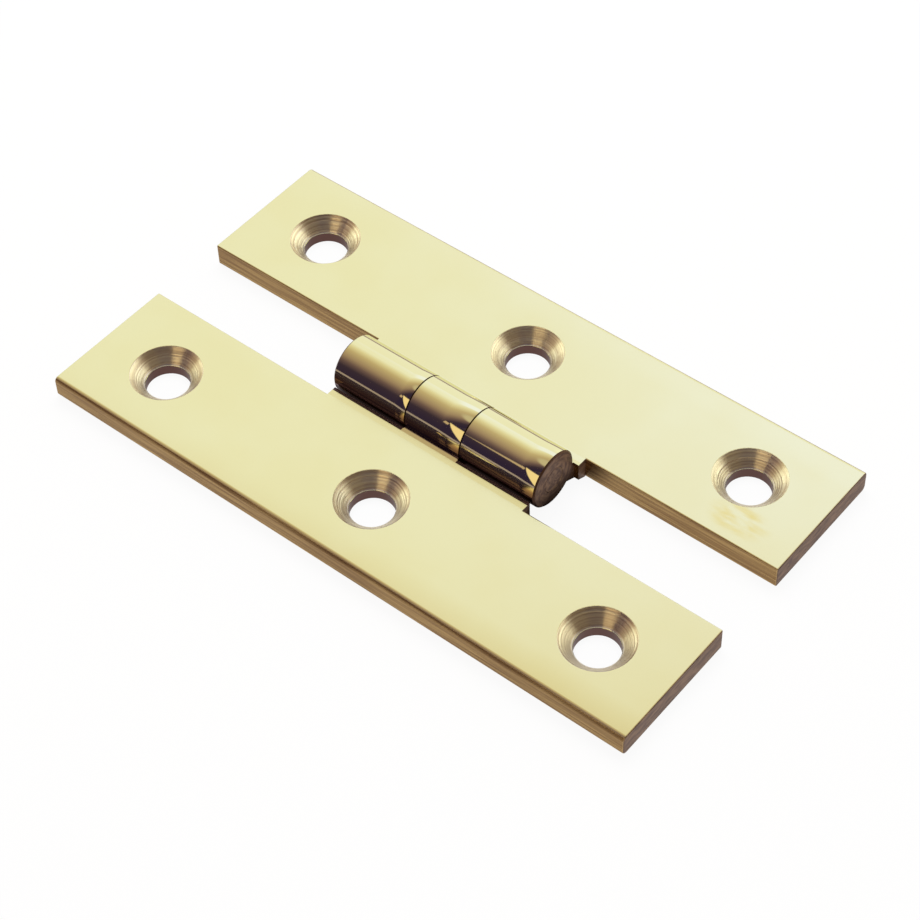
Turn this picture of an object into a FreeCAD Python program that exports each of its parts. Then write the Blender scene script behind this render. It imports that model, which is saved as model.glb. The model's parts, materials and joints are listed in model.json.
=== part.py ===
import FreeCAD, Part
import math
import os
import Sketcher

# Solid drawn brass H hinge, open flat: two leaves on one pin, x across the leaves, y along the pin, z up.
# The origin is on the back plane of the leaves, under the middle of the pin.

DOC = FreeCAD.newDocument("h_hinge")

# Sizes in millimetres.
SIZES = {
    "leaf_length": 63.5,
    "open_width": 35.2,
    "leaf_gap": 7.9,
    "leaf_thickness": 2.3,
    "back_arris_radius": 0.5,
    "face_arris_radius": 0.45,
    "edge_break": 0.12,
    "knuckle_diameter": 5.6,
    "axis_height": 2.85,
    "foot_radius": 0.15,
    "neck_root": 3.85,
    "neck_rise": 0.85,
    "barrel_length": 22.6,
    "middle_knuckle_length": 6.1,
    "knuckle_side_gap": 0.06,
    "barrel_end_chamfer": 0.15,
    "seam_chamfer": 0.04,
    "back_tab_overrun": 0.45,
    "front_tab_setback": 0.3,
    "tab_clearance": 0.16,
    "pin_diameter": 2.5,
    "pin_clearance": 0.05,
    "pin_chamfer": 0.06,
    "screw_hole_diameter": 4.1,
    "countersink_diameter": 6.7,
    "countersink_lip_radius": 0.1,
    "screw_spacing": 24.2,
    "screw_line": 10.9,
}
COUNTERSINK_ANGLE = 90.0
CUT_MARGIN = 2.0
NEAR = 1e-4

sheet = DOC.addObject("Spreadsheet::Sheet", "Sizes")
for row, (name, value) in enumerate(SIZES.items(), start=1):
    sheet.set(f"A{row}", name)
    sheet.set(f"B{row}", str(value))
    sheet.setAlias(f"B{row}", name)
DOC.recompute()


def size(name):
    """A size from the sheet, in millimetres."""
    return float(getattr(sheet, name))


def plane(body, role):
    """One of the body's own origin planes."""
    for feature in body.Origin.OriginFeatures:
        if feature.Role == role:
            return feature
    raise LookupError(role)


def new_sketch(body, name, role, lift=None):
    """A sketch on an origin plane, lifted along the plane's normal by an expression."""
    sketch = body.newObject("Sketcher::SketchObject", name)
    sketch.AttachmentSupport = [(plane(body, role), "")]
    sketch.MapMode = "FlatFace"
    if lift:
        sketch.setExpression("AttachmentOffset.Base.z", lift)
    return sketch


def bind(sketch, index, name, expression):
    """Names a dimension of the sketch and drives it from the sheet."""
    sketch.renameConstraint(index, name)
    sketch.setExpression(f"Constraints.{name}", expression)


def distance(sketch, kind, name, geometry, point, value, expression):
    """Distance of a point from the sketch's origin; the sign of value says on which side it lies."""
    if value >= 0:
        ends = (-1, 1, geometry, point)
    else:
        ends = (geometry, point, -1, 1)
    index = sketch.addConstraint(Sketcher.Constraint(kind, *ends, abs(value)))
    bind(sketch, index, name, expression)


def circle(sketch, centre, diameter):
    """A full circle in the sketch."""
    round_line = Part.Circle(FreeCAD.Vector(*centre, 0), FreeCAD.Vector(0, 0, 1), diameter / 2)
    return sketch.addGeometry(round_line)


def rectangle(sketch, name, left, right, low, high):
    """Rectangle from four signed (value, expression) pairs, each expression a distance from the origin."""
    corners = [
        FreeCAD.Vector(left[0], low[0], 0),
        FreeCAD.Vector(right[0], low[0], 0),
        FreeCAD.Vector(right[0], high[0], 0),
        FreeCAD.Vector(left[0], high[0], 0),
    ]
    sides = []
    for start, end in zip(corners, corners[1:] + corners[:1]):
        sides.append(sketch.addGeometry(Part.LineSegment(start, end)))
    for side, following in zip(sides, sides[1:] + sides[:1]):
        sketch.addConstraint(Sketcher.Constraint("Coincident", side, 2, following, 1))
    for side, direction in zip(sides, ("Horizontal", "Vertical", "Horizontal", "Vertical")):
        sketch.addConstraint(Sketcher.Constraint(direction, side))
    distance(sketch, "DistanceX", name + "_left", sides[0], 1, *left)
    distance(sketch, "DistanceX", name + "_right", sides[0], 2, *right)
    distance(sketch, "DistanceY", name + "_low", sides[0], 1, *low)
    distance(sketch, "DistanceY", name + "_high", sides[2], 1, *high)


def drawn_section(body):
    """Section of the drawn bar: the round-edged leaf, its neck and the bead that becomes the knuckle."""
    radius = size("knuckle_diameter") / 2
    axis = size("axis_height")
    thick = size("leaf_thickness")
    foot = size("foot_radius")
    rise = size("neck_rise")
    outer = size("open_width") / 2
    back_round = size("back_arris_radius")
    face_round = size("face_arris_radius")
    root = size("neck_root")
    foot_x = math.sqrt((radius + foot) ** 2 - (axis - thick - foot) ** 2)
    foot_turn = math.atan2(thick + foot - axis, foot_x)
    neck_x = math.sqrt(radius ** 2 - (axis - rise) ** 2)
    neck_turn = math.atan2(rise - axis, neck_x)
    up = FreeCAD.Vector(0, 0, 1)
    sketch = new_sketch(body, "Section", "XZ_Plane")

    def line(a, b):
        return sketch.addGeometry(Part.LineSegment(FreeCAD.Vector(*a, 0), FreeCAD.Vector(*b, 0)))

    def arc(centre, arc_radius, start, end):
        circle = Part.Circle(FreeCAD.Vector(*centre, 0), up, arc_radius)
        return sketch.addGeometry(Part.ArcOfCircle(circle, start, end))

    back = line((root, 0), (outer - back_round, 0))
    back_arris = arc((outer - back_round, back_round), back_round, -math.pi / 2, 0)
    edge = line((outer, back_round), (outer, thick - face_round))
    face_arris = arc((outer - face_round, thick - face_round), face_round, 0, math.pi / 2)
    face = line((outer - face_round, thick), (foot_x, thick))
    fillet = arc((foot_x, thick + foot), foot, math.pi + foot_turn, 1.5 * math.pi)
    bead = arc((0, axis), radius, foot_turn, neck_turn + 2 * math.pi)
    under = line((neck_x, rise), (root, 0))
    for first, first_end, second, second_end in (
        (back, 2, back_arris, 1),
        (back_arris, 2, edge, 1),
        (edge, 2, face_arris, 1),
        (face_arris, 2, face, 1),
        (face, 2, fillet, 2),
        (fillet, 1, bead, 1),
    ):
        sketch.addConstraint(Sketcher.Constraint("Tangent", first, first_end, second, second_end))
    sketch.addConstraint(Sketcher.Constraint("Coincident", bead, 2, under, 1))
    sketch.addConstraint(Sketcher.Constraint("Coincident", under, 2, back, 1))
    sketch.addConstraint(Sketcher.Constraint("Horizontal", back))
    sketch.addConstraint(Sketcher.Constraint("Horizontal", face))
    sketch.addConstraint(Sketcher.Constraint("Vertical", edge))
    sketch.addConstraint(Sketcher.Constraint("PointOnObject", back, 1, -1))
    sketch.addConstraint(Sketcher.Constraint("PointOnObject", bead, 3, -2))
    distance(sketch, "DistanceY", "axis", bead, 3, axis, "Sizes.axis_height")
    distance(sketch, "DistanceY", "face", face, 1, thick, "Sizes.leaf_thickness")
    distance(sketch, "DistanceX", "outer", edge, 1, outer, "Sizes.open_width / 2")
    distance(sketch, "DistanceX", "root", under, 2, root, "Sizes.neck_root")
    distance(sketch, "DistanceY", "rise", under, 1, rise, "Sizes.neck_rise")
    for name, curve, value, expression in (
        ("bead", bead, radius, "Sizes.knuckle_diameter / 2"),
        ("foot", fillet, foot, "Sizes.foot_radius"),
        ("back_round", back_arris, back_round, "Sizes.back_arris_radius"),
        ("face_round", face_arris, face_round, "Sizes.face_arris_radius"),
    ):
        index = sketch.addConstraint(Sketcher.Constraint("Radius", curve, value))
        bind(sketch, index, name, expression)
    return sketch


def cut(body, name, sketch):
    """Pocket through all, both ways from its sketch."""
    pocket = body.newObject("PartDesign::Pocket", name)
    pocket.Profile = sketch
    pocket.Type = "ThroughAll"
    pocket.Midplane = True
    sketch.Visibility = False
    DOC.recompute()
    return pocket


def edges_where(feature, test):
    """Names of the feature's edges whose middle point passes the test."""
    names = []
    for number, edge in enumerate(feature.Shape.Edges, start=1):
        middle = edge.valueAt((edge.FirstParameter + edge.LastParameter) / 2)
        if test(edge, middle):
            names.append(f"Edge{number}")
    return names


def dress(body, kind, name, feature, test, attribute, expression):
    """Fillet or chamfer on the edges that pass the test, sized from the sheet."""
    dressed = body.newObject(f"PartDesign::{kind}", name)
    dressed.Base = (feature, edges_where(feature, test))
    dressed.setExpression(attribute, expression)
    body.Tip = dressed
    DOC.recompute()
    return dressed


def round_end(place):
    """Test for the edges round the knuckles at one distance from the middle of the pin."""
    def test(edge, middle):
        spread = math.hypot(middle.x, middle.z - size("axis_height"))
        return abs(abs(middle.y) - place) < NEAR and abs(spread - size("knuckle_diameter") / 2) < NEAR
    return test


def leaf(label, knuckle_bore, tab_end, seam, knuckle_cuts):
    """A leaf with its knuckles, cut from the drawn bar; the leaf lies on the +x side of the pin."""
    body = DOC.addObject("PartDesign::Body", label)
    body.Label = label
    far_side = (-(size("knuckle_diameter") / 2 + CUT_MARGIN), f"Sizes.knuckle_diameter / 2 + {CUT_MARGIN}")
    relief = (
        size("knuckle_diameter") / 2 + size("tab_clearance"),
        "Sizes.knuckle_diameter / 2 + Sizes.tab_clearance",
    )
    inner = (size("leaf_gap") / 2, "Sizes.leaf_gap / 2")

    bar = body.newObject("PartDesign::Pad", "DrawnBar")
    bar.Profile = drawn_section(body)
    bar.Midplane = True
    bar.setExpression("Length", "Sizes.leaf_length")
    DOC.recompute()

    sketch = new_sketch(body, "PinBoreSection", "XZ_Plane")
    bore = circle(sketch, (0, size("axis_height")), size("pin_diameter"))
    sketch.addConstraint(Sketcher.Constraint("PointOnObject", bore, 3, -2))
    distance(sketch, "DistanceY", "axis", bore, 3, size("axis_height"), "Sizes.axis_height")
    width = sketch.addConstraint(Sketcher.Constraint("Diameter", bore, size("pin_diameter")))
    bind(sketch, width, "bore", knuckle_bore)
    cut(body, "PinBore", sketch)

    def mirrored_pair(sketch, name, right, near, far):
        """The same rectangle at both ends of the leaf."""
        rectangle(sketch, name + "_plus", far_side, right, near, far)
        rectangle(sketch, name + "_minus", far_side, right, (-far[0], far[1]), (-near[0], near[1]))

    leaf_end = (size("leaf_length") / 2 + CUT_MARGIN, f"Sizes.leaf_length / 2 + {CUT_MARGIN}")
    sketch = new_sketch(body, "InnerEdgePlan", "XY_Plane")
    mirrored_pair(sketch, "edge", inner, tab_end, leaf_end)
    cut(body, "InnerEdge", sketch)

    sketch = new_sketch(body, "KnucklePlan", "XY_Plane")
    beyond = (tab_end[0] + CUT_MARGIN, f"{tab_end[1]} + {CUT_MARGIN}")
    for name, near, far in knuckle_cuts:
        far = far or beyond
        if near is None:
            rectangle(sketch, name, far_side, relief, (-far[0], far[1]), far)
        else:
            mirrored_pair(sketch, name, relief, near, far)
    knuckles = cut(body, "Knuckles", sketch)

    sketch = new_sketch(body, "ScrewPlan", "XY_Plane", "Sizes.leaf_thickness")
    for name, place in (("far", 1), ("middle", 0), ("near", -1)):
        centre = (size("screw_line"), place * size("screw_spacing"))
        hole = circle(sketch, centre, size("screw_hole_diameter"))
        width = sketch.addConstraint(Sketcher.Constraint("Diameter", hole, size("screw_hole_diameter")))
        bind(sketch, width, name + "_width", "Sizes.screw_hole_diameter")
        distance(sketch, "DistanceX", name + "_line", hole, 3, centre[0], "Sizes.screw_line")
        if place:
            distance(sketch, "DistanceY", name + "_place", hole, 3, centre[1], "Sizes.screw_spacing")
        else:
            sketch.addConstraint(Sketcher.Constraint("PointOnObject", hole, 3, -1))
    DOC.recompute()
    holes = body.newObject("PartDesign::Hole", "ScrewHoles")
    holes.Profile = sketch
    sketch.Visibility = False
    DOC.recompute()
    holes.Threaded = False
    holes.DepthType = "ThroughAll"
    holes.setExpression("Diameter", "Sizes.screw_hole_diameter")
    holes.HoleCutType = "Countersink"
    holes.HoleCutCustomValues = True
    holes.setExpression("HoleCutDiameter", "Sizes.countersink_diameter")
    holes.HoleCutCountersinkAngle = COUNTERSINK_ANGLE
    DOC.recompute()

    end = size("leaf_length") / 2
    thick = size("leaf_thickness")

    def hole_lip(edge, middle):
        """The rim of a countersink on the face of the leaf."""
        around = math.pi * size("countersink_diameter")
        return abs(middle.z - thick) < NEAR and abs(edge.Length - around) < NEAR

    def sawn_edge(edge, middle):
        """The outline of either end, and the long inner edges beyond the tab."""
        beyond_tab = abs(middle.x - inner[0]) < NEAR and abs(middle.y) > tab_end[0]
        on_face = abs(middle.z) < NEAR or abs(middle.z - thick) < NEAR
        return abs(abs(middle.y) - end) < NEAR or (beyond_tab and on_face)

    last = dress(body, "Fillet", "HoleLips", holes, hole_lip, "Radius", "Sizes.countersink_lip_radius")
    last = dress(body, "Fillet", "SawnEdges", last, sawn_edge, "Radius", "Sizes.edge_break")
    dress(body, "Chamfer", "SeamEdges", last, round_end(seam), "Size", "Sizes.seam_chamfer")
    return body


half_middle = (size("middle_knuckle_length") / 2, "Sizes.middle_knuckle_length / 2")
half_slot = (
    size("middle_knuckle_length") / 2 + size("knuckle_side_gap"),
    "Sizes.middle_knuckle_length / 2 + Sizes.knuckle_side_gap",
)
half_barrel = (size("barrel_length") / 2, "Sizes.barrel_length / 2")
back_tab_end = (
    half_barrel[0] + size("back_tab_overrun"),
    f"{half_barrel[1]} + Sizes.back_tab_overrun",
)
front_tab_end = (
    half_barrel[0] - size("front_tab_setback"),
    f"{half_barrel[1]} - Sizes.front_tab_setback",
)

# The back leaf carries the two outer knuckles: a slot between them, their ends cut to the barrel's length.
back_leaf = leaf(
    "back_leaf",
    "Sizes.pin_diameter",
    back_tab_end,
    half_slot[0],
    [("slot", None, half_slot), ("dressed", half_barrel, None)],
)
dress(
    back_leaf,
    "Chamfer",
    "BarrelEnds",
    back_leaf.Tip,
    round_end(half_barrel[0]),
    "Size",
    "Sizes.barrel_end_chamfer",
)

# The front leaf carries the middle knuckle, which turns on the pin.
front_leaf = leaf(
    "front_leaf",
    "Sizes.pin_diameter + 2 * Sizes.pin_clearance",
    front_tab_end,
    half_middle[0],
    [("side", half_middle, None)],
)
front_leaf.Placement = FreeCAD.Placement(
    FreeCAD.Vector(0, 0, 0), FreeCAD.Rotation(FreeCAD.Vector(0, 0, 1), 180)
)


def pin_end(edge, middle):
    """Test for the edge round either end of the pin."""
    return abs(abs(middle.y) - size("barrel_length") / 2) < NEAR


# The pin is held in the outer knuckles and filed flush with the ends of the barrel.
hinge_pin = DOC.addObject("PartDesign::Body", "hinge_pin")
hinge_pin.Label = "hinge_pin"
pin_sketch = new_sketch(hinge_pin, "PinSection", "XZ_Plane")
pin_circle = circle(pin_sketch, (0, 0), size("pin_diameter"))
pin_sketch.addConstraint(Sketcher.Constraint("Coincident", pin_circle, 3, -1, 1))
pin_width = pin_sketch.addConstraint(Sketcher.Constraint("Diameter", pin_circle, size("pin_diameter")))
bind(pin_sketch, pin_width, "width", "Sizes.pin_diameter")
rod = hinge_pin.newObject("PartDesign::Pad", "Rod")
rod.Profile = pin_sketch
rod.Midplane = True
rod.setExpression("Length", "Sizes.barrel_length")
DOC.recompute()
dress(hinge_pin, "Chamfer", "PinEnds", rod, pin_end, "Size", "Sizes.pin_chamfer")
hinge_pin.setExpression("Placement.Base.z", "Sizes.axis_height")
DOC.recompute()

for item in DOC.Objects:
    if "Invalid" in item.State or "Error" in item.State:
        raise RuntimeError(f"{item.Name} {item.State}")

os.makedirs("parts", exist_ok=True)
for node in (back_leaf, front_leaf, hinge_pin):
    shape = node.Shape
    if shape.isNull() or not shape.isValid():
        raise RuntimeError(node.Label)
    shape.exportStep(f"parts/{node.Label}.step")
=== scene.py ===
import json
import math
from collections import namedtuple

import bpy
from mathutils import Matrix, Vector


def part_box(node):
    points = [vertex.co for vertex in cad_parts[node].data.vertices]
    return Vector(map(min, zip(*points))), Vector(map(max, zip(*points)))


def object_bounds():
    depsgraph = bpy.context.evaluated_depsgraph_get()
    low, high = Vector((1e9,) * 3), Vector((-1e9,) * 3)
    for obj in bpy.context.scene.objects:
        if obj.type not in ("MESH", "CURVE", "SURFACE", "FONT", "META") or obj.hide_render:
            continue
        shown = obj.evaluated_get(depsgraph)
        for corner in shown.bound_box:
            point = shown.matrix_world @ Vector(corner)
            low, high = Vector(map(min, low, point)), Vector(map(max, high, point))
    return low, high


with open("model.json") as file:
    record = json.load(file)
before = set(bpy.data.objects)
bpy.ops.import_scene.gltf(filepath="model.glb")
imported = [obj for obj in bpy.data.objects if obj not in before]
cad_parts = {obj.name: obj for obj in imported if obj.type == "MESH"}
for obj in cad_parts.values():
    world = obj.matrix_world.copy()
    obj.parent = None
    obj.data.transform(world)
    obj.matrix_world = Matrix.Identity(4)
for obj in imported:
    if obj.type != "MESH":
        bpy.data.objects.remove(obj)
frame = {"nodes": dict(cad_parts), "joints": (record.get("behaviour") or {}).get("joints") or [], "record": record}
cad_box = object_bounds()

# Lengths in the materials are millimetres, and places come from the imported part.
MM = 0.001
MOUNTS = {mount["name"]: mount for mount in frame["record"]["mounts"]}
END_SCREWS = MOUNTS["back_end_screws"]
SCREW_LINE = END_SCREWS["pos_m"][0] / MM
SCREW_SPACING = END_SCREWS["dims"]["spacing_y_mm"] / 2
HOLE_RADIUS = END_SCREWS["dims"]["hole_r_mm"]
AXIS_HEIGHT = frame["joints"][0]["pos_m"][2] / MM
BARREL_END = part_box("hinge_pin")[1].y / MM
KNUCKLE_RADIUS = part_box("front_leaf")[1].x / MM
LEAF_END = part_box("back_leaf")[1].y / MM
LEAF_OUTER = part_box("back_leaf")[1].x / MM
COUNTERSINK_RADIUS = 3.35
# Where the middle knuckle meets the outer ones, along the barrel.
SEAM = 3.08
# Where the face of a tab starts to rise and where it is highest, out from the pin.
TAB_ROOT = 3.9
TAB_CREST = 3.3
# A pit on the near end of the back leaf, painted as a spot of shade, and a smear of tarnish on its face.
PIT_SHADE = (5.95, -LEAF_END, 1.44)
PIT_SHADE_BORDER = (0.34, 0.20)
SMEAR_CENTRE = (6.4, -26.1, 0.0)
SMEAR_SPREAD = (0.45, 0.28, 0.0)
SMEAR_BORDER = (1.0, 0.2)

# Borders of the zones from outside to inside, in millimetres past the length that each goes with.
RIM_BORDER = (0.06, -0.02)
BORE_BORDER = (0.05, 0.02)
LIP_HIGHLIGHT_BORDER = (0.16, 0.10)
KNUCKLE_BORDER = (0.10, 0.05)
CREST_BORDER = (0.02, -0.04)
FILED_BORDER = (0.0, -0.5)
# The same, by the share of the normal that points up or down, up, or along the pin.
UPRIGHT = (0.42, 0.16)
CONE = (0.96, 0.85)
SLOPED = (0.93, 0.72)
FACING_ALONG = (0.45, 0.7)
FACING_DOWN = (-0.3, -0.8)
FACING_UP = (0.0, 0.3)
# Painted shade in the corner at the foot of a knuckle, on the barrel's lower front side: place across, then
# heights over the pin.
BARREL_SHADE_ACROSS = (0.4, -0.8)
BARREL_SHADE_BOTTOM = (-1.6, -0.8)
BARREL_SHADE_TOP = (1.05, 0.55)
BARREL_DEEP_SHADE_TOP = (0.95, 0.1)

# Streaked textures: the stretch of the place along each axis, then scale and detail.
GRAIN = ((5.0, 0.22, 5.0), 2.0, 3.0)
DRAW_LINES = ((2.0, 0.10, 6.0), 1.3, 4.0)
SAW_MARKS = ((0.5, 3.0, 2.6), 1.8, 4.0)
SMEAR_STREAKS = ((1.2, 0.4, 0.0), 0.9, 2.5)
CLOUD_SCALE = 0.13
GRAIN_WARMTH = 0.10
CLOUD_WARMTH = 0.22
SMEAR_STRENGTH = 0.9
# Turning marks: how close they lie, and offsets that give each hole its own.
RING_CLOSENESS = 8.5
RING_OFFSETS = {"hole": 1.7, "leaf": 5.1, "start": 0.35, "depth": 0.6}
# File marks on the ends of the barrel: how close they lie outwards and round.
ARC_OUTWARDS = 2.4
ARC_ROUND = 1.9

# Heights in millimetres, and slopes, of the relief.
RING_HEIGHT = 0.06
LINE_HEIGHT = 0.03
SAW_HEIGHT = 0.02
ROLL_DROP = -0.12
ROLL_REACH = (2.0, 2.4, 1.2)
PILLOW_WIDTH = 3.0
PILLOW_DROP = -0.010
TAB_RISE = 0.10
NECK_RISE = 0.36
TAB_FALL = -0.6

# Roughness of the face, and of the other zones in the order in which they cover one another.
FACE_ROUGHNESS = 0.14
ZONE_ROUGHNESS = {
    "knuckle": 0.05,
    "turned": 0.30,
    "edge": 0.42,
    "end": 0.45,
    "bored": 0.4,
    "back": 0.35,
    "rolled": 0.4,
}
PIN_ROUGHNESS = (0.35, 0.5)
ANISOTROPY = 0.85

# Linear colours of the brass.
POLISHED = (0.84, 0.815, 0.485, 1)
POLISHED_WARM = (0.80, 0.73, 0.34, 1)
TARNISH = (0.78, 0.62, 0.14, 1)
TURNED = (1.0, 0.93, 0.67, 1)
TURNED_DARK = (0.74, 0.63, 0.43, 1)
# A painted highlight round the top of each bore.
PAINTED_LIP_HIGHLIGHT = (0.92, 0.84, 0.72, 1)
EDGE = (0.30, 0.175, 0.075, 1)
EDGE_LIGHT = (0.54, 0.36, 0.15, 1)
SAWN = (0.118, 0.064, 0.045, 1)
SAWN_LIGHT = (0.25, 0.147, 0.090, 1)
# Painted shade in the bores, also used for the pit.
PAINTED_BORE_SHADE = (0.12, 0.062, 0.052, 1)
BACK = (0.62, 0.52, 0.27, 1)
# Painted shade on the lower front of the barrel, then deeper painted shade lower down.
PAINTED_BARREL_SHADE = (0.46, 0.34, 0.27, 1)
PAINTED_BARREL_DEEP_SHADE = (0.17, 0.11, 0.115, 1)
# Painted shade of the gap, on the tab strips beside the other leaf's knuckles.
PAINTED_GAP_SHADE = (0.40, 0.28, 0.28, 1)

# The camera, fitted to the outline of the photograph.
CAMERA_EYE = Vector((-107.734, -93.121, 161.696)) * MM
CAMERA_TARGET = Vector((-1.308, -1.932, 0.0)) * MM
CAMERA_ROLL = math.radians(-2.18)
CAMERA_LENS = 95.16
CAMERA_SENSOR = 36.0
CAMERA_CLIP = (0.01, 10.0)

# The light tent, by how far a direction points to the far side: dark on the near side, white on the far one.
TENT_RADIUS = 1.5
TENT_ROWS = 16
TENT_COLUMNS = 64
TENT_TOWARDS = math.radians(40.0)
TENT_GLOW = (
    (-0.42, (0.032, 0.020, 0.062)),
    (-0.29, (0.048, 0.030, 0.062)),
    (-0.16, (0.17, 0.105, 0.125)),
    (0.01, (0.40, 0.28, 0.23)),
    (0.29, (0.62, 0.49, 0.34)),
    (0.48, (0.86, 0.78, 0.61)),
    (0.62, (1.0, 1.0, 1.0)),
)
# Patches on the tent, from and to so many degrees round from the far side and up from the floor. The soft
# borders are those of the start, the stop, and the bottom and top. A leaning patch starts further round
# by that many degrees for each degree below its top.
Patch = namedtuple("Patch", "turn lift soft glow lean", defaults=(0.0,))
PATCHES = (
    # A dim panel behind on the left, and a low warm one behind in two halves.
    Patch((-152, -98), (4, 62), (9.0, 8.0, 6.0), (0.10, 0.075, 0.070)),
    Patch((150, 200), (-20, 24), (6.0, 1.0, 5.0), (0.36, 0.285, 0.18)),
    Patch((-200, -98), (-20, 24), (1.0, 8.0, 5.0), (0.36, 0.285, 0.18)),
    # A warm reflector and its turned-in edge.
    Patch((116, 159), (2, 42), (1.0, 0.6, 1.5), (1.05, 0.80, 0.50), lean=0.6),
    Patch((110, 117), (31, 38.5), (0.8, 0.8, 0.8), (0.60, 0.43, 0.33)),
    # A cool window, and a bright panel on either side.
    Patch((-70, -6), (36, 52), (5.0, 12.0, 2.5), (1.05, 1.10, 1.45)),
    Patch((-98, -36), (0, 26), (16.0, 10.0, 6.0), (1.8, 1.8, 1.5)),
    Patch((36, 76), (0, 20), (8.0, 8.0, 5.0), (2.0, 2.0, 1.6)),
    # The crown.
    Patch((-185, 185), (79, 95), (1.0, 1.0, 4.0), (0.62, 0.53, 0.41)),
)
# Glow high up on the near side: how far to that side it starts and is full, and how high.
NEAR_GLOW = {"away": (-0.43, -0.50), "lift": (45.0, 58.0), "glow": (0.11, 0.083, 0.085)}

# The floor, white to the camera but for its shadow. In reflections it has a painted pool of light beside
# the leaves, is dim further out, and has a painted shadow below the barrel.
WHITE = (1, 1, 1, 1)
FLOOR_PAINT = (0.85, 0.85, 0.85, 1)
FLOOR_GLOW = 0.93
FLOOR_DROP = 0.01
FLOOR_LIT = (3.0, 25.0)
FLOOR_FAR = (0.36, 0.27, 0.31, 1)
# Painted shadow below the barrel, in reflections of the floor.
FLOOR_SHADOW = (0.03, 0.02, 0.02, 1)
SHADOW_ACROSS = (4.2, 3.2)
SHADOW_ALONG = (BARREL_END + 3.0, BARREL_END)
WORLD_LIGHT = 0.5
WORLD_SEEN = 1.0

LAMP_PLACE = (0.16, 0.12, 0.45)
LAMP_SIZE = 0.35
LAMP_POWER = 2.0


class Graph:
    """A node tree, with one method for each kind of node that the materials use."""

    FLOAT = ("FLOAT", 2, 3, 0)
    VECTOR = ("VECTOR", 4, 5, 1)
    COLOUR = ("RGBA", 6, 7, 2)

    def __init__(self, tree):
        self.tree = tree
        self.tree.nodes.clear()

    def node(self, kind, **settings):
        made = self.tree.nodes.new(kind)
        for name, value in settings.items():
            setattr(made, name, value)
        return made

    def feed(self, socket, value):
        """Links a socket to another, or sets a plain value on it."""
        if isinstance(value, bpy.types.NodeSocket):
            self.tree.links.new(value, socket)
        else:
            socket.default_value = value

    def math(self, operation, *values):
        made = self.node("ShaderNodeMath", operation=operation)
        for socket, value in zip(made.inputs, values):
            self.feed(socket, value)
        return made.outputs[0]

    def vector(self, operation, *values):
        made = self.node("ShaderNodeVectorMath", operation=operation)
        for socket, value in zip(made.inputs, values):
            self.feed(socket, value)
        return made.outputs["Value" if operation in ("LENGTH", "DOT_PRODUCT") else "Vector"]

    def scaled(self, vector, factor):
        made = self.node("ShaderNodeVectorMath", operation="SCALE")
        self.feed(made.inputs["Vector"], vector)
        self.feed(made.inputs["Scale"], factor)
        return made.outputs["Vector"]

    def split(self, vector):
        made = self.node("ShaderNodeSeparateXYZ")
        self.feed(made.inputs[0], vector)
        return tuple(made.outputs)

    def join(self, x, y, z):
        made = self.node("ShaderNodeCombineXYZ")
        for socket, value in zip(made.inputs, (x, y, z)):
            self.feed(socket, value)
        return made.outputs[0]

    def step(self, value, low, high):
        """0 at low and 1 at high, smooth between them; low may be the larger."""
        made = self.node("ShaderNodeMapRange", interpolation_type="SMOOTHSTEP")
        for name, number in (("Value", value), ("From Min", low), ("From Max", high)):
            self.feed(made.inputs[name], number)
        return made.outputs[0]

    def within(self, value, length, border):
        """1 where a value is inside a length, with a border from outside to inside past that length."""
        outside, inside = border
        return self.step(value, length + outside, length + inside)

    def mix(self, kind, share, first, second):
        data_type, a, b, result = kind
        made = self.node("ShaderNodeMix", data_type=data_type)
        self.feed(made.inputs[0], share)
        self.feed(made.inputs[a], first)
        self.feed(made.inputs[b], second)
        return made.outputs[result]

    def noise(self, vector, scale, detail=2.0):
        made = self.node("ShaderNodeTexNoise")
        self.feed(made.inputs["Vector"], vector)
        made.inputs["Scale"].default_value = scale
        made.inputs["Detail"].default_value = detail
        return made.outputs[0]

    def streaks(self, place, stretch, scale, detail):
        return self.noise(self.vector("MULTIPLY", place, stretch), scale, detail)

    def both(self, *masks):
        """Product of masks or numbers."""
        result = masks[0]
        for mask in masks[1:]:
            result = self.math("MULTIPLY", result, mask)
        return result

    def sum(self, *values):
        result = values[0]
        for value in values[1:]:
            result = self.math("ADD", result, value)
        return result

    def without(self, mask):
        return self.math("SUBTRACT", 1.0, mask)

    def beyond(self, value, start):
        """How far a value is past a start, and 0 before it."""
        return self.math("MAXIMUM", self.math("SUBTRACT", value, start), 0.0)

    def shade(self, shader):
        output = self.node("ShaderNodeOutputMaterial")
        self.feed(output.inputs["Surface"], shader.outputs[0])


def new_material(name):
    material = bpy.data.materials.new(name)
    material.use_nodes = True
    return material, Graph(material.node_tree)


def surface_place(graph):
    """Place in millimetres and normal on a piece, both in the piece's own frame."""
    coordinates = graph.node("ShaderNodeTexCoord")
    place = graph.scaled(coordinates.outputs["Object"], 1 / MM)
    return place, coordinates.outputs["Normal"]


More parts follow.
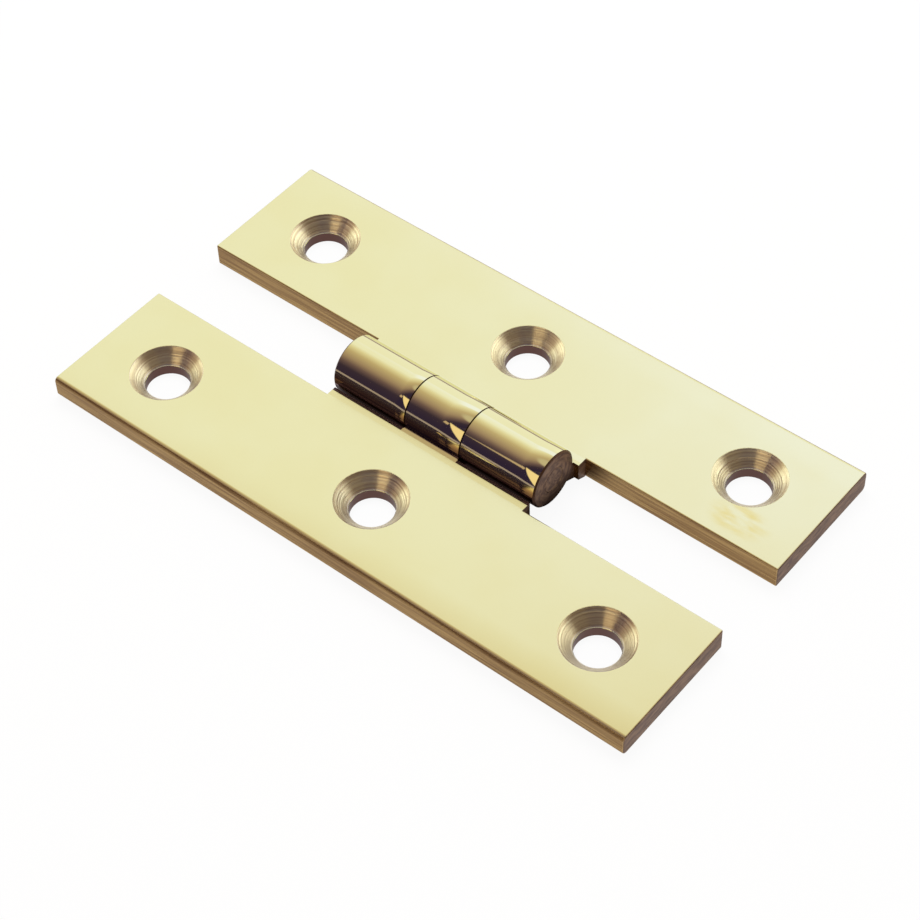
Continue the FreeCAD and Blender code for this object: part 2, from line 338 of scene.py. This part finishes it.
class LeafZones:
    """Where a point of a leaf lies: on the face, a knuckle, a screw hole, an edge, an end or the back."""

    def __init__(self, g):
        self.place, normal = surface_place(g)
        self.x, self.y, self.z = g.split(self.place)
        self.side = g.math("ABSOLUTE", self.x)
        self.along = g.math("ABSOLUTE", self.y)
        _, facing_along, self.facing_up = g.split(normal)
        self.tilt = g.math("ABSOLUTE", self.facing_up)
        self.at_end = g.step(g.math("ABSOLUTE", facing_along), *FACING_ALONG)
        self.find_holes(g)
        self.find_knuckles(g)
        self.find_borders(g)
        self.find_gap_shade(g)

    def find_holes(self, g):
        self.hole_x = g.math("SUBTRACT", self.side, SCREW_LINE)
        self.hole_number = g.math("ROUND", g.math("DIVIDE", self.y, SCREW_SPACING))
        self.hole_y = g.math("SUBTRACT", self.y, g.both(self.hole_number, SCREW_SPACING))
        self.hole_reach = g.vector("LENGTH", g.join(self.hole_x, self.hole_y, 0.0))
        self.hole = g.within(self.hole_reach, COUNTERSINK_RADIUS, RIM_BORDER)
        in_bore = g.within(self.hole_reach, HOLE_RADIUS, BORE_BORDER)
        self.turned = g.both(self.hole, g.without(in_bore), g.step(self.tilt, *CONE))
        self.bored = g.both(in_bore, g.step(self.tilt, *UPRIGHT))

    def find_knuckles(self, g):
        self.over_pin = g.math("SUBTRACT", self.z, AXIS_HEIGHT)
        pin_reach = g.vector("LENGTH", g.join(self.x, 0.0, self.over_pin))
        self.round_pin = g.within(pin_reach, KNUCKLE_RADIUS, KNUCKLE_BORDER)
        self.knuckle = g.both(self.round_pin, g.without(self.at_end))

    def find_borders(self, g):
        flank = g.both(g.step(self.tilt, *SLOPED), g.without(self.knuckle))
        self.edge = g.both(flank, g.without(self.hole), g.without(self.at_end))
        self.end = g.both(self.at_end, g.without(self.hole))
        self.back = g.both(g.step(self.facing_up, *FACING_DOWN), g.without(self.knuckle))

    def find_gap_shade(self, g):
        """The edges of the tabs that lie beside a knuckle of the other leaf, where the shade of the gap is
        painted.
        """
        front = g.math("LESS_THAN", self.x, 0.0)
        middle = g.math("LESS_THAN", self.along, SEAM)
        self.beside_other = g.math("ABSOLUTE", g.math("SUBTRACT", front, middle))
        on_top = g.both(g.without(self.round_pin), g.step(self.facing_up, *FACING_UP))
        inside_crest = g.within(self.side, TAB_CREST, CREST_BORDER)
        self.rolled = g.both(self.beside_other, inside_crest, on_top)


def leaf_colour(g, zones):
    """Pale polished face and knuckles, and browned turned, drawn and sawn surfaces, with painted shade in the
    bores and beside the other leaf's knuckles.
    """
    colour = polished_colour(g, zones)
    colour = g.mix(g.COLOUR, zones.turned, colour, turned_colour(g, zones))
    drawn = g.step(g.streaks(zones.place, *DRAW_LINES), 0.35, 0.68)
    colour = g.mix(g.COLOUR, zones.edge, colour, g.mix(g.COLOUR, drawn, EDGE, EDGE_LIGHT))
    colour = g.mix(g.COLOUR, zones.end, colour, end_colour(g, zones))
    # Painted shade in the bores.
    colour = g.mix(g.COLOUR, zones.bored, colour, PAINTED_BORE_SHADE)
    # Painted shade of the gap beside the other leaf's knuckles.
    colour = g.mix(g.COLOUR, zones.rolled, colour, PAINTED_GAP_SHADE)
    return g.mix(g.COLOUR, zones.back, colour, BACK)


def polished_colour(g, zones):
    """Brass warmer in grain and clouds, with one smear of tarnish, and painted shade, brown and then deeper, at
    the foot of the knuckles.
    """
    grain = g.streaks(zones.place, *GRAIN)
    cloud = g.step(g.noise(zones.place, CLOUD_SCALE), 0.3, 0.7)
    warmth = g.sum(g.both(grain, GRAIN_WARMTH), g.both(cloud, CLOUD_WARMTH))
    colour = g.mix(g.COLOUR, warmth, POLISHED, POLISHED_WARM)
    colour = g.mix(g.COLOUR, tarnish_smear(g, zones), colour, TARNISH)
    # Painted shade on the lower front side of the barrel, brown higher up and darker at its foot.
    corner = g.both(
        zones.knuckle,
        g.step(zones.x, *BARREL_SHADE_ACROSS),
        g.step(zones.over_pin, *BARREL_SHADE_BOTTOM),
    )
    brown = g.both(corner, g.step(zones.over_pin, *BARREL_SHADE_TOP))
    colour = g.mix(g.COLOUR, brown, colour, PAINTED_BARREL_SHADE)
    dark = g.both(corner, g.step(zones.over_pin, *BARREL_DEEP_SHADE_TOP))
    return g.mix(g.COLOUR, dark, colour, PAINTED_BARREL_DEEP_SHADE)


def tarnish_smear(g, zones):
    """Yellow streaks that run from the near hole of the back leaf towards its inner corner."""
    offset = g.vector("MULTIPLY", g.vector("SUBTRACT", zones.place, SMEAR_CENTRE), SMEAR_SPREAD)
    spread = g.step(g.vector("LENGTH", offset), *SMEAR_BORDER)
    streaks = g.step(g.streaks(zones.place, *SMEAR_STREAKS), 0.30, 0.70)
    return g.both(spread, streaks, SMEAR_STRENGTH)


def turned_colour(g, zones):
    """Turning marks of a countersink, with a painted highlight round the top of its bore."""
    rings = g.step(turning_marks(g, zones), 0.62, 0.38)
    # Painted highlight round the top of the bore.
    lip_highlight = g.within(zones.hole_reach, HOLE_RADIUS, LIP_HIGHLIGHT_BORDER)
    return g.mix(g.COLOUR, lip_highlight, g.mix(g.COLOUR, rings, TURNED, TURNED_DARK), PAINTED_LIP_HIGHLIGHT)


def turning_marks(g, zones):
    """Rings of a countersink, the same all round it and different in each."""
    by_leaf = g.both(g.math("SIGN", zones.x), RING_OFFSETS["leaf"])
    number = g.sum(g.both(zones.hole_number, RING_OFFSETS["hole"]), by_leaf, RING_OFFSETS["start"])
    place = g.join(g.both(zones.hole_reach, RING_CLOSENESS), number, RING_OFFSETS["depth"])
    return g.noise(place, 1.0, 3.0)


def end_colour(g, zones):
    """Sawn ends of the leaves, with the painted shade of a pit, and filed ends of the barrel."""
    sawn = g.step(g.streaks(zones.place, *SAW_MARKS), 0.32, 0.72)
    colour = g.mix(g.COLOUR, sawn, SAWN, SAWN_LIGHT)
    colour = g.mix(g.COLOUR, zones.round_pin, colour, filed_colour(g, zones.x, zones.over_pin))
    from_pit_shade = g.vector("LENGTH", g.vector("SUBTRACT", zones.place, PIT_SHADE))
    return g.mix(g.COLOUR, g.step(from_pit_shade, *PIT_SHADE_BORDER), colour, PAINTED_BORE_SHADE)


def filed_colour(g, x, over_pin):
    """Arcs left by the file on an end of the barrel, darker towards the rim."""
    reach = g.vector("LENGTH", g.join(x, over_pin, 0.0))
    turn = g.math("ARCTAN2", over_pin, x)
    arcs = g.noise(g.join(g.both(reach, ARC_OUTWARDS), g.both(turn, ARC_ROUND), 4.0), 1.2, 5.0)
    light = g.both(g.step(arcs, 0.36, 0.66), g.within(reach, KNUCKLE_RADIUS, FILED_BORDER))
    return g.mix(g.COLOUR, light, SAWN, SAWN_LIGHT)


def leaf_roughness(g, zones):
    rough = FACE_ROUGHNESS
    for zone, value in ZONE_ROUGHNESS.items():
        rough = g.mix(g.FLOAT, getattr(zones, zone), rough, value)
    return rough


def leaf_relief(g, zones):
    """Height in millimetres of the marks, of the tabs, and of the polish where it rolls off."""
    rings = g.both(zones.turned, turning_marks(g, zones), RING_HEIGHT)
    lines = g.both(zones.edge, g.streaks(zones.place, *DRAW_LINES), LINE_HEIGHT)
    outside = g.beyond(zones.side, LEAF_OUTER - PILLOW_WIDTH)
    pillow = g.both(outside, outside, PILLOW_DROP)
    return g.sum(rings, lines, knuckle_roll(g, zones), pillow, tab_relief(g, zones))


def by_knuckle(g, zones, near, middle, far):
    """One of three numbers, by the knuckle that a point is level with."""
    past_near_seam = g.math("GREATER_THAN", zones.y, -SEAM)
    past_far_seam = g.math("GREATER_THAN", zones.y, SEAM)
    return g.sum(near, g.both(past_near_seam, middle - near), g.both(past_far_seam, far - middle))


def knuckle_roll(g, zones):
    """Drop of a knuckle towards its near end, steeper closer to it."""
    near_end = by_knuckle(g, zones, -BARREL_END, -SEAM, SEAM)
    reach = by_knuckle(g, zones, *ROLL_REACH)
    eased = g.beyond(reach, g.math("SUBTRACT", zones.y, near_end))
    return g.both(zones.knuckle, eased, eased, g.math("DIVIDE", ROLL_DROP, reach))


def tab_relief(g, zones):
    """Height of a tab, which rises towards the barrel.

    It goes on up into its own knuckle, and falls away before the other leaf's.
    """
    outer = g.beyond(TAB_ROOT, g.math("MAXIMUM", zones.side, TAB_CREST))
    inner = g.beyond(TAB_CREST, zones.side)
    slope = g.mix(g.FLOAT, zones.beside_other, NECK_RISE, TAB_FALL)
    height = g.sum(g.both(outer, TAB_RISE), g.both(inner, slope))
    return g.both(height, g.without(zones.round_pin))


def leaf_grain(g, zones):
    """Direction in which the polishing and turning marks spread light: across themselves."""
    outward = g.join(g.both(zones.hole_x, g.math("SIGN", zones.x)), zones.hole_y, 0.0)
    across = g.mix(g.VECTOR, zones.hole, (1.0, 0.0, 0.0), outward)
    to_world = g.node("ShaderNodeVectorTransform", vector_type="VECTOR")
    to_world.convert_from = "OBJECT"
    to_world.convert_to = "WORLD"
    g.feed(to_world.inputs[0], across)
    return to_world.outputs[0]


def bumped(g, height):
    bump = g.node("ShaderNodeBump")
    bump.inputs["Distance"].default_value = MM
    g.feed(bump.inputs["Height"], height)
    return bump.outputs[0]


def brass_leaf():
    """Polished drawn brass: bright face and knuckles, turned countersinks, drawn and sawn edges."""
    material, g = new_material("polished_brass")
    zones = LeafZones(g)
    shader = g.node("ShaderNodeBsdfPrincipled")
    shader.inputs["Metallic"].default_value = 1.0
    shader.inputs["Anisotropic"].default_value = ANISOTROPY
    g.feed(shader.inputs["Base Color"], leaf_colour(g, zones))
    g.feed(shader.inputs["Roughness"], leaf_roughness(g, zones))
    g.feed(shader.inputs["Normal"], bumped(g, leaf_relief(g, zones)))
    g.feed(shader.inputs["Tangent"], leaf_grain(g, zones))
    g.shade(shader)
    return material


def brass_pin():
    """The pin's filed ends, brown and scratched like the ends of the barrel."""
    material, g = new_material("pin_brass")
    place = surface_place(g)[0]
    x, _, z = g.split(place)
    over_pin = g.math("SUBTRACT", z, AXIS_HEIGHT)
    sawn = g.streaks(place, *SAW_MARKS)
    shader = g.node("ShaderNodeBsdfPrincipled")
    shader.inputs["Metallic"].default_value = 1.0
    g.feed(shader.inputs["Base Color"], filed_colour(g, x, over_pin))
    g.feed(shader.inputs["Roughness"], g.mix(g.FLOAT, sawn, *PIN_ROUGHNESS))
    g.feed(shader.inputs["Normal"], bumped(g, g.both(sawn, SAW_HEIGHT)))
    g.shade(shader)
    return material


def dress(node, material):
    """Gives a node of the frame its finished material."""
    shown = frame["nodes"][node]
    shown.data.materials.clear()
    shown.data.materials.append(material)


def stage_object(name, mesh, material):
    """A thing of the set, not of the object."""
    mesh.materials.append(material)
    shown = bpy.data.objects.new(name, mesh)
    bpy.context.scene.collection.objects.link(shown)
    return shown


def seen_background(graph):
    """Masks of the rays that see the background: from the camera, and mirrored or through glass."""
    path = graph.node("ShaderNodeLightPath")
    mirrored = graph.math("MAXIMUM", path.outputs["Is Glossy Ray"], path.outputs["Is Transmission Ray"])
    return path.outputs["Is Camera Ray"], mirrored


def floor_mirrored(g):
    """Colour of the floor in reflections, with a painted pool of light beside the leaves and a painted shadow
    below the barrel.
    """
    x, y, _ = g.split(surface_place(g)[0])
    across = g.math("ABSOLUTE", x)
    along = g.math("ABSOLUTE", y)
    past_sides = g.math("SUBTRACT", across, LEAF_OUTER)
    past_ends = g.math("SUBTRACT", along, LEAF_END)
    outside = g.math("MAXIMUM", past_sides, past_ends)
    colour = g.mix(g.COLOUR, g.step(outside, *FLOOR_LIT), WHITE, FLOOR_FAR)
    # Painted shadow below the barrel.
    shadow_beneath = g.both(g.step(across, *SHADOW_ACROSS), g.step(along, *SHADOW_ALONG))
    return g.mix(g.COLOUR, shadow_beneath, colour, FLOOR_SHADOW)


def floor_pale():
    """White to the camera but for a faint shadow, lit round the object in reflections, open from below."""
    material, g = new_material("floor_pale")
    diffuse = g.node("ShaderNodeBsdfDiffuse")
    diffuse.inputs["Color"].default_value = FLOOR_PAINT
    camera_ray, mirrored_ray = seen_background(g)
    glow = g.node("ShaderNodeEmission")
    g.feed(glow.inputs["Color"], g.mix(g.COLOUR, camera_ray, floor_mirrored(g), WHITE))
    seen = g.node("ShaderNodeMixShader")
    g.feed(seen.inputs[0], g.both(g.math("MAXIMUM", camera_ray, mirrored_ray), FLOOR_GLOW))
    g.feed(seen.inputs[1], diffuse.outputs[0])
    g.feed(seen.inputs[2], glow.outputs[0])
    open_below = g.node("ShaderNodeMixShader")
    g.feed(open_below.inputs[0], g.node("ShaderNodeNewGeometry").outputs["Backfacing"])
    g.feed(open_below.inputs[1], seen.outputs[0])
    g.feed(open_below.inputs[2], g.node("ShaderNodeBsdfTransparent").outputs[0])
    g.shade(open_below)
    return material


def floor():
    mesh = bpy.data.meshes.new("floor")
    reach = 2 * TENT_RADIUS
    corners = [(-reach, -reach, 0), (reach, -reach, 0), (reach, reach, 0), (-reach, reach, 0)]
    mesh.from_pydata(corners, [], [(0, 1, 2, 3)])
    shown = stage_object("floor", mesh, floor_pale())
    shown.location.z = cad_box[0].z - FLOOR_DROP * MM


def tent_ramp(g, away):
    """Glow of the bare tent, by how far a direction points to the far side."""
    low = TENT_GLOW[0][0]
    span = TENT_GLOW[-1][0] - low
    ramp = g.node("ShaderNodeValToRGB")
    stops = ramp.color_ramp.elements
    for place, _ in TENT_GLOW[1:-1]:
        stops.new((place - low) / span)
    for stop, (_, colour) in zip(stops, TENT_GLOW):
        stop.color = (*colour, 1)
    g.feed(ramp.inputs[0], g.math("DIVIDE", g.math("SUBTRACT", away, low), span))
    return ramp.outputs[0]


def patch_mask(g, patch, turn, lift):
    """1 inside a patch of the tent, with its soft borders."""
    start, stop = patch.turn
    bottom, top = patch.lift
    start_soft, stop_soft, lift_soft = patch.soft
    leant = g.sum(turn, g.both(g.math("SUBTRACT", lift, top), patch.lean))
    return g.both(
        g.step(leant, start - start_soft, start + start_soft),
        g.step(turn, stop + stop_soft, stop - stop_soft),
        g.step(lift, bottom - lift_soft, bottom + lift_soft),
        g.step(lift, top + lift_soft, top - lift_soft),
    )


def tent_glow():
    """Glow of the tent by direction, with its patches."""
    material, g = new_material("tent_glow")
    material.cycles.emission_sampling = "NONE"
    far_x = math.cos(TENT_TOWARDS)
    far_y = math.sin(TENT_TOWARDS)
    direction = g.vector("NORMALIZE", g.node("ShaderNodeTexCoord").outputs["Object"])
    away = g.vector("DOT_PRODUCT", direction, (far_x, far_y, 0.0))
    aside = g.vector("DOT_PRODUCT", direction, (-far_y, far_x, 0.0))
    turn = g.math("DEGREES", g.math("ARCTAN2", aside, away))
    lift = g.math("DEGREES", g.math("ARCSINE", g.split(direction)[2]))
    near = g.both(g.step(away, *NEAR_GLOW["away"]), g.step(lift, *NEAR_GLOW["lift"]))
    colour = g.mix(g.COLOUR, near, tent_ramp(g, away), (*NEAR_GLOW["glow"], 1))
    for patch in PATCHES:
        inside = patch_mask(g, patch, turn, lift)
        colour = g.mix(g.COLOUR, inside, colour, (*patch.glow, 1))
    glow = g.node("ShaderNodeEmission")
    g.feed(glow.inputs["Color"], colour)
    g.shade(glow)
    return material


def light_tent():
    """Dome of soft light over the set, unseen by the camera."""
    mesh = bpy.data.meshes.new("light_tent")
    points = []
    for row in range(TENT_ROWS + 1):
        lift = math.pi / 2 * row / TENT_ROWS
        out = TENT_RADIUS * math.cos(lift)
        for column in range(TENT_COLUMNS):
            turn = 2 * math.pi * column / TENT_COLUMNS
            points.append((out * math.cos(turn), out * math.sin(turn), TENT_RADIUS * math.sin(lift)))
    faces = []
    for row in range(TENT_ROWS):
        for column in range(TENT_COLUMNS):
            here = row * TENT_COLUMNS + column
            beside = row * TENT_COLUMNS + (column + 1) % TENT_COLUMNS
            faces.append((here, here + TENT_COLUMNS, beside + TENT_COLUMNS, beside))
    mesh.from_pydata(points, [], faces)
    shown = stage_object("light_tent", mesh, tent_glow())
    shown.visible_camera = False


def white_world():
    """White surroundings beyond the tent."""
    world = bpy.data.worlds.new("surroundings")
    bpy.context.scene.world = world
    world.use_nodes = True
    g = Graph(world.node_tree)
    background = g.node("ShaderNodeBackground")
    background.inputs["Color"].default_value = WHITE
    seen = g.math("MAXIMUM", *seen_background(g))
    g.feed(background.inputs["Strength"], g.mix(g.FLOAT, seen, WORLD_LIGHT, WORLD_SEEN))
    output = g.node("ShaderNodeOutputWorld")
    g.feed(output.inputs["Surface"], background.outputs[0])


def soft_lamp():
    """Large soft lamp above the far side, which lights the floor and casts the shadow."""
    data = bpy.data.lights.new("soft_lamp", "AREA")
    data.size = LAMP_SIZE
    data.energy = LAMP_POWER
    lamp = bpy.data.objects.new("soft_lamp", data)
    bpy.context.scene.collection.objects.link(lamp)
    lamp.location = LAMP_PLACE
    lamp.rotation_euler = (-lamp.location).to_track_quat("-Z", "Y").to_euler()
    lamp.visible_glossy = False


def camera():
    data = bpy.data.cameras.new("camera")
    data.lens = CAMERA_LENS
    data.sensor_width = CAMERA_SENSOR
    data.clip_start, data.clip_end = CAMERA_CLIP
    shown = bpy.data.objects.new("camera", data)
    bpy.context.scene.collection.objects.link(shown)
    aim = (CAMERA_TARGET - CAMERA_EYE).to_track_quat("-Z", "Y").to_matrix()
    turned = aim @ Matrix.Rotation(CAMERA_ROLL, 3, "Z")
    shown.matrix_world = Matrix.LocRotScale(CAMERA_EYE, turned, None)
    bpy.context.scene.camera = shown


bpy.context.scene.view_settings.view_transform = "Standard"
leaf_brass = brass_leaf()
dress("back_leaf", leaf_brass)
dress("front_leaf", leaf_brass)
dress("hinge_pin", brass_pin())
floor()
light_tent()
white_world()
soft_lamp()
camera()
